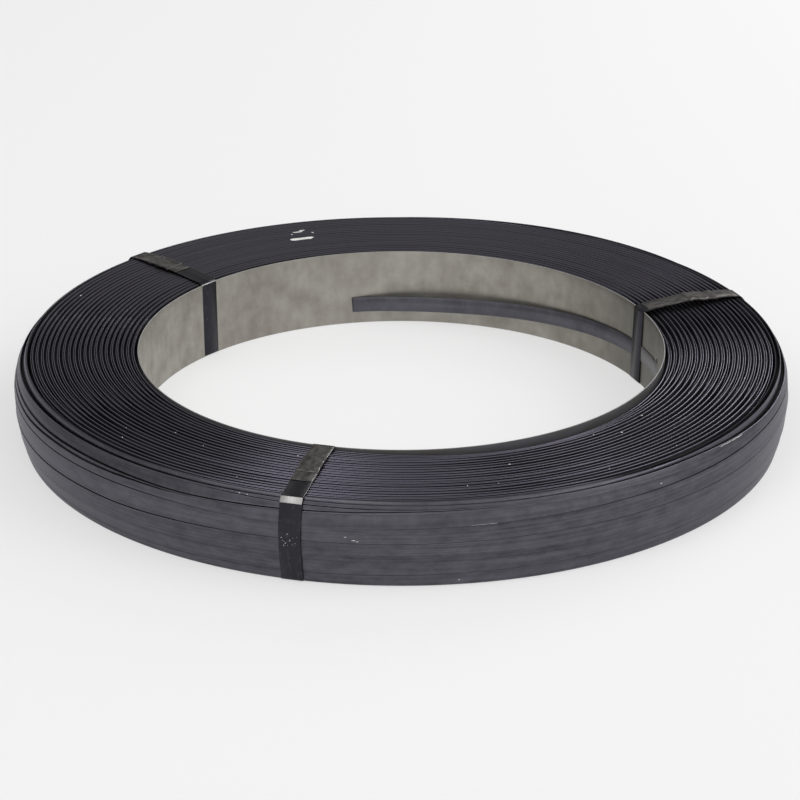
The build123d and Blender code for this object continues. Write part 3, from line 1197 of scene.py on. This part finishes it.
def crimp_seal(name, sizes, winding, material):
    """A folded seal round both layers of a strap, bitten by the crimping tool twice on each edge."""
    middle = seal_radius(name)
    half = sizes.seal_length / 2
    run = top_run(name, sizes, winding, middle - half, middle + half, sizes.thickness / 2)
    turn = strap_angle(name)
    stack = 2 * sizes.thickness + 2 * sizes.clearance + 2 * sizes.seal_wall
    section = flat_section(sizes.width + 2 * sizes.seal_wall, stack, stack / 4)
    seal = sweep("crimped_seal_" + name, run, turn, section, False, [material])
    outward, sideways = map(Vector, facing(turn))
    drift = float(run[:, 2].mean())
    with reshaped(seal.data) as work:
        wide = [
            edge for edge in work.edges
            if abs((edge.verts[0].co - edge.verts[1].co).dot(sideways)) > sizes.width / 2
        ]
        bmesh.ops.subdivide_edges(work, edges=wide, cuts=SEAL_CUTS)
        for vert in work.verts:
            along = vert.co.dot(outward) - middle
            across = vert.co.dot(sideways) - drift
            near = min(abs(along - sizes.notch_spacing / 2), abs(along + sizes.notch_spacing / 2))
            bite = math.exp(-(near / (BITE_WIDTH * MM)) ** 2)
            edge_share = max(0, abs(across) / (sizes.width / 2) - BITE_START) / (1 - BITE_START)
            vert.co -= sideways * math.copysign(bite * edge_share * sizes.notch_depth, across)
            vert.co.z -= BITE_DROP * MM * bite * edge_share
    return seal


# Flecks and scuffs

# On the wound end: angle in degrees, fin number from the sleeve, length and width in mm
END_MARKS = (
    (110.0, 10.0, 21.0, 5.6),
    (109.6, 14.2, 9.0, 1.6),
    (108.6, 14.9, 5.0, 1.6),
    (132.5, 20.25, 6.0, 1.0),
    (107.0, 13.0, 1.8, 1.2),
    (111.0, 13.2, 1.6, 1.2),
    (-38.5, 4.4, 1.6, 0.8),
    (-47.0, 6.5, 1.6, 0.8),
    (-71.5, 8.1, 1.4, 0.8),
    (159.5, 17.0, 1.8, 1.0),
)
# On the outer wall: angle in degrees, height, length and width in mm
WALL_MARKS = (
    (-96.3, 37.3, 3.0, 0.3),
    (-95.8, 36.6, 1.6, 0.3),
    (-97.4, 39.6, 1.8, 0.25),
    (-79.2, 47.5, 20.0, 0.07),
    (-82.2, 4.6, 1.2, 0.5),
    (-52.1, 51.4, 2.0, 0.35),
    (-112.4, 61.2, 1.4, 0.35),
    (-111.2, 61.1, 1.2, 0.35),
    # Four white flakes along the rim's top edge at the right: a whitish scratch that also stands for the
    # glint there, a painted highlight
    (-33.9, 56.9, 9.0, 0.4),
    (-35.4, 57.2, 9.0, 0.35),
    (-36.9, 57.5, 9.0, 0.28),
    (-38.4, 57.8, 9.0, 0.2),
)
MARK_SEED = 17
# Dust on the wound end: how many specks, their angles in degrees, first fin, lengths and widths in mm
DUST_COUNT = 12
DUST_ANGLES = (-175, 15)
DUST_FIRST_FIN = 4
DUST_LENGTHS = (0.5, 1.4)
DUST_WIDTHS = (0.4, 0.8)
# Dirt on one strap's wall run: how many specks, their heights, lengths and widths in mm, and the share of
# the strap's width that they lie within on either side
DIRTY_STRAP = "front"
DIRT_COUNT = 16
DIRT_HEIGHTS = (26, 39)
DIRT_LENGTHS = (0.3, 0.8)
DIRT_WIDTHS = (0.15, 0.35)
DIRT_SPREAD = 0.38
# A flake: steps round it, its two rings as a share of its size and a lift in mm, and how ragged they are
FLAKE_STEPS = 12
FLAKE_RINGS = ((1.0, -0.25), (0.85, 0.1))
RAGGED = (0.85, 1.08)
UP = Vector((0, 0, 1))


def flake(work, rng, spot, along, across):
    """A thin ragged flake of paint or dust, sunk a little into what it lies on."""
    normal = along.cross(across).normalized()
    rings = []
    for shrink, lift in FLAKE_RINGS:
        ring = []
        for step in range(FLAKE_STEPS):
            turn = TAU * step / FLAKE_STEPS
            ragged = shrink * rng.uniform(*RAGGED)
            ahead = math.copysign(math.sqrt(abs(math.cos(turn))), math.cos(turn))
            aside = math.copysign(math.sqrt(abs(math.sin(turn))), math.sin(turn))
            offset = ragged * (ahead * along + aside * across) / 2
            ring.append(work.verts.new(spot + offset + lift * MM * normal))
        rings.append(ring)
    for step in range(FLAKE_STEPS):
        after = (step + 1) % FLAKE_STEPS
        work.faces.new((rings[0][step], rings[0][after], rings[1][after], rings[1][step]))
    work.faces.new(rings[1])
    work.faces.new(reversed(rings[0]))


def end_flake(work, rng, sizes, degrees, fin, long, wide):
    """A flake on the wound end, on the fins at an angle."""
    turn = math.radians(degrees)
    radius = sizes.first_fin + fin * sizes.fin_pitch
    outward, sideways = map(Vector, facing(turn))
    spot = radius * outward + Vector((0, 0, float(end_height(sizes, turn))))
    flake(work, rng, spot, long * MM * -sideways, wide * MM * -outward)


def wall_flake(work, rng, sizes, degrees, height, long, wide):
    """A flake on the outer wall."""
    turn = math.radians(degrees)
    outward, sideways = map(Vector, facing(turn))
    spot = float(crown(sizes, height * MM)) * outward + Vector((0, 0, height * MM))
    flake(work, rng, spot, long * MM * sideways, wide * MM * UP)


def strap_flake(work, rng, sizes, straps):
    """A speck of dirt on the wall run of the dirty strap."""
    turn = strap_angle(DIRTY_STRAP)
    outward, sideways = map(Vector, facing(turn))
    height = rng.uniform(*DIRT_HEIGHTS) * MM
    radius = float(crown(sizes, height)) + straps.wall_stand + straps.thickness / 2
    aside = DRIFTS[DIRTY_STRAP][-1] * MM + rng.uniform(-DIRT_SPREAD, DIRT_SPREAD) * straps.width
    spot = radius * outward + aside * sideways + Vector((0, 0, height))
    long = rng.uniform(*DIRT_LENGTHS) * MM
    wide = rng.uniform(*DIRT_WIDTHS) * MM
    flake(work, rng, spot, long * sideways, wide * UP)


def scatter_marks(sizes, straps, material):
    """The flecks of paint and dust on the coil, as one piece."""
    rng = np.random.default_rng(MARK_SEED)
    mesh = bpy.data.meshes.new("paint_flecks")
    with reshaped(mesh) as work:
        for mark in END_MARKS:
            end_flake(work, rng, sizes, *mark)
        for mark in WALL_MARKS:
            wall_flake(work, rng, sizes, *mark)
        for number in range(DUST_COUNT):
            degrees = rng.uniform(*DUST_ANGLES)
            fin = int(rng.integers(DUST_FIRST_FIN, sizes.fin_count))
            long = rng.uniform(*DUST_LENGTHS)
            wide = rng.uniform(*DUST_WIDTHS)
            end_flake(work, rng, sizes, degrees, fin, long, wide)
        for number in range(DIRT_COUNT):
            strap_flake(work, rng, sizes, straps)
        bmesh.ops.recalc_face_normals(work, faces=work.faces)
    mesh.materials.append(material)
    return finished_object("paint_flecks", mesh)


# The stage

FLOOR_SIDES = 96
SENSOR_WIDTH = 36.0
# Lamps that point at the coil: side and place in metres; the settings of the same names give their power
LAMPS = {
    "soft_key": (1.8, (1.97, -0.42, 1.5)),
    "rim_right": (1.1, (1.43, 1.82, 1.17)),
    "rim_left": (1.0, (-1.17, 1.95, 1.3)),
    "front_glint": (1.2, (-0.95, -1.1, 1.95)),
}


def lay_floor(settings, finishes):
    """A wide pale floor that keeps the coil's shadow."""
    mesh = bpy.data.meshes.new("studio_floor")
    with reshaped(mesh) as work:
        bmesh.ops.create_circle(work, cap_ends=True, segments=FLOOR_SIDES, radius=settings.floor_radius)
    material, tree = new_material("matt_paper_floor")
    paper = add_node(tree, "ShaderNodeBsdfPrincipled", {
        "Base Color": opaque(finishes.floor), "Roughness": 0.9, "Specular IOR Level": 0.0,
    })
    # Part of the white is only seen, so that the floor stays pale and still keeps a shadow
    rays = add_node(tree, "ShaderNodeLightPath", {})
    mirrored = add_node(tree, "ShaderNodeMath", {
        0: rays.outputs["Is Glossy Ray"], 1: rays.outputs["Is Transmission Ray"],
    }, operation="MAXIMUM")
    seen = add_node(tree, "ShaderNodeMath", {
        0: rays.outputs["Is Camera Ray"], 1: mirrored,
    }, operation="MAXIMUM")
    share = add_node(tree, "ShaderNodeMath", {0: seen, 1: settings.floor_white}, operation="MULTIPLY")
    white = add_node(tree, "ShaderNodeEmission", {"Color": WHITE, "Strength": 1.0})
    mixed = add_node(tree, "ShaderNodeMixShader", {0: share, 1: paper, 2: white})
    add_node(tree, "ShaderNodeOutputMaterial", {"Surface": mixed})
    mesh.materials.append(material)
    floor = linked("studio_floor", mesh)


def light_room(settings):
    """Soft light all round, brighter in front and at the right, and four lamps round the coil."""
    world = bpy.data.worlds.new("studio")
    world.use_nodes = True
    tree = world.node_tree
    tree.nodes.clear()
    place = add_node(tree, "ShaderNodeTexCoord", {})
    lean = add_node(tree, "ShaderNodeVectorMath", {
        0: place.outputs["Generated"], 1: (settings.sky_right, -settings.sky_front, settings.sky_top),
    }, operation="DOT_PRODUCT")
    strength = add_node(tree, "ShaderNodeMath", {
        0: lean.outputs["Value"], 1: settings.sky,
    }, operation="ADD")
    sky = add_node(tree, "ShaderNodeBackground", {"Color": WHITE, "Strength": strength})
    add_node(tree, "ShaderNodeOutputWorld", {"Surface": sky})
    bpy.context.scene.world = world
    for name, (side, spot) in LAMPS.items():
        hang_lamp(name, getattr(settings, name), side, spot)


def hang_lamp(name, power, side, spot):
    """A square soft lamp that points at the coil."""
    lamp = bpy.data.lights.new(name, "AREA")
    lamp.shape = "SQUARE"
    lamp.size = side
    lamp.energy = power
    hung = linked(name, lamp)
    hung.location = spot
    hung.rotation_euler = (-hung.location).to_track_quat("-Z", "Y").to_euler()


def place_camera(settings):
    """The camera at the photograph's viewing angle."""
    middle = (coil_low.z + coil_high.z) / 2
    data = bpy.data.cameras.new("camera")
    data.lens = settings.lens
    data.sensor_width = SENSOR_WIDTH
    data.shift_x = settings.shift_x
    data.shift_y = settings.shift_y
    camera = linked("camera", data)
    camera.location = (
        0,
        -settings.distance * math.cos(settings.elevation),
        middle + settings.distance * math.sin(settings.elevation),
    )
    camera.rotation_euler = (math.pi / 2 - settings.elevation, 0, 0)
    bpy.context.scene.camera = camera


# Operators


class STRIPCOIL_OT_winding(bpy.types.Operator):
    """Wind the strip and draw its inner end through the sleeve"""

    bl_idname = "strip_coil.winding"
    bl_label = "Wind Strip"

    def execute(self, context):
        scene = context.scene
        blued = blued_strapping(scene.coil_finishes)
        edge = slit_edge(scene.coil_finishes)
        wound = wind_strip(scene.coil_winding, [blued, edge, painted_gap_shade(scene.coil_finishes)])
        dress(wound, "black_strip", "strip_coil")
        tail = draw_tail(scene.coil_tail, [blued, dulled_steel(scene.coil_finishes)])
        dress(tail, "black_strip", "strip_coil")
        return {"FINISHED"}


class STRIPCOIL_OT_sleeve(bpy.types.Operator):
    """Roll the sleeve"""

    bl_idname = "strip_coil.sleeve"
    bl_label = "Roll Sleeve"

    def execute(self, context):
        scene = context.scene
        finishes = scene.coil_finishes
        slit_place = (scene.coil_tail.slit_angle - strap_angle("left")) % TAU * bore_radius
        materials = [dulled_steel(finishes), mill_steel(finishes, slit_place), sheared_edge_and_glint(finishes)]
        sleeve = roll_sleeve(scene.coil_sleeve, scene.coil_tail, materials)
        dress(sleeve, "bare_steel", "core_sleeve")
        return {"FINISHED"}


class STRIPCOIL_OT_straps(bpy.types.Operator):
    """Tie the three straps, lay their laps and crimp their seals"""

    bl_idname = "strip_coil.straps"
    bl_label = "Tie Straps"

    def execute(self, context):
        scene = context.scene
        sizes = scene.coil_straps
        winding = scene.coil_winding
        oxide = black_oxide_tie(scene.coil_finishes)
        edge = sheared_edge_and_glint(scene.coil_finishes)
        rubbed = rubbed_steel_and_glint(scene.coil_finishes)
        waxed = waxed_lap(scene.coil_finishes)
        for name in STRAP_NAMES:
            strap = tie_strap(name, sizes, winding, [oxide, edge, rubbed])
            dress(strap, "black_strap", "strap_" + name)
            lap = lay_lap(name, sizes, winding, [waxed, edge])
            dress(lap, "black_strap", "strap_" + name)
            seal = crimp_seal(name, sizes, winding, waxed)
            dress(seal, "seal_steel", "seal_" + name)
        return {"FINISHED"}


class STRIPCOIL_OT_marks(bpy.types.Operator):
    """Scatter the flecks of paint and dust"""

    bl_idname = "strip_coil.marks"
    bl_label = "Scatter Marks"

    def execute(self, context):
        scene = context.scene
        marks = scatter_marks(scene.coil_winding, scene.coil_straps, dried_paint(scene.coil_finishes))
        dress(marks, "black_strip")
        return {"FINISHED"}


class STRIPCOIL_OT_stage(bpy.types.Operator):
    """Set the floor, the light and the camera"""

    bl_idname = "strip_coil.stage"
    bl_label = "Set Stage"

    def execute(self, context):
        scene = context.scene
        settings = scene.coil_stage
        lay_floor(settings, scene.coil_finishes)
        light_room(settings)
        place_camera(settings)
        scene.view_settings.view_transform = "Standard"
        return {"FINISHED"}


class STRIPCOIL_PT_panel(bpy.types.Panel):
    """Lists the steps that make the coil"""

    bl_label = "Strip Coil"
    bl_idname = "STRIPCOIL_PT_panel"
    bl_space_type = "VIEW_3D"
    bl_region_type = "UI"
    bl_category = "Strip Coil"

    def draw(self, context):
        for step in STEPS:
            self.layout.operator(step.bl_idname)


GROUPS = {
    "coil_winding": WindingSizes,
    "coil_tail": TailSizes,
    "coil_sleeve": SleeveSizes,
    "coil_straps": StrapSizes,
    "coil_finishes": Finishes,
    "coil_stage": StageSettings,
}
STEPS = (
    STRIPCOIL_OT_winding,
    STRIPCOIL_OT_sleeve,
    STRIPCOIL_OT_straps,
    STRIPCOIL_OT_marks,
    STRIPCOIL_OT_stage,
)


def register():
    """Registers the settings, the steps and the panel."""
    for name, group in GROUPS.items():
        bpy.utils.register_class(group)
        setattr(bpy.types.Scene, name, bpy.props.PointerProperty(type=group))
    for step in STEPS:
        bpy.utils.register_class(step)
    bpy.utils.register_class(STRIPCOIL_PT_panel)


def unregister():
    """Takes out what register put in."""
    bpy.utils.unregister_class(STRIPCOIL_PT_panel)
    for step in reversed(STEPS):
        bpy.utils.unregister_class(step)
    for name, group in GROUPS.items():
        delattr(bpy.types.Scene, name)
        bpy.utils.unregister_class(group)


def main():
    """Makes the coil."""
    register()
    bpy.ops.strip_coil.winding()
    bpy.ops.strip_coil.sleeve()
    bpy.ops.strip_coil.straps()
    bpy.ops.strip_coil.marks()
    bpy.ops.strip_coil.stage()


if __name__ == "__main__":
    main()
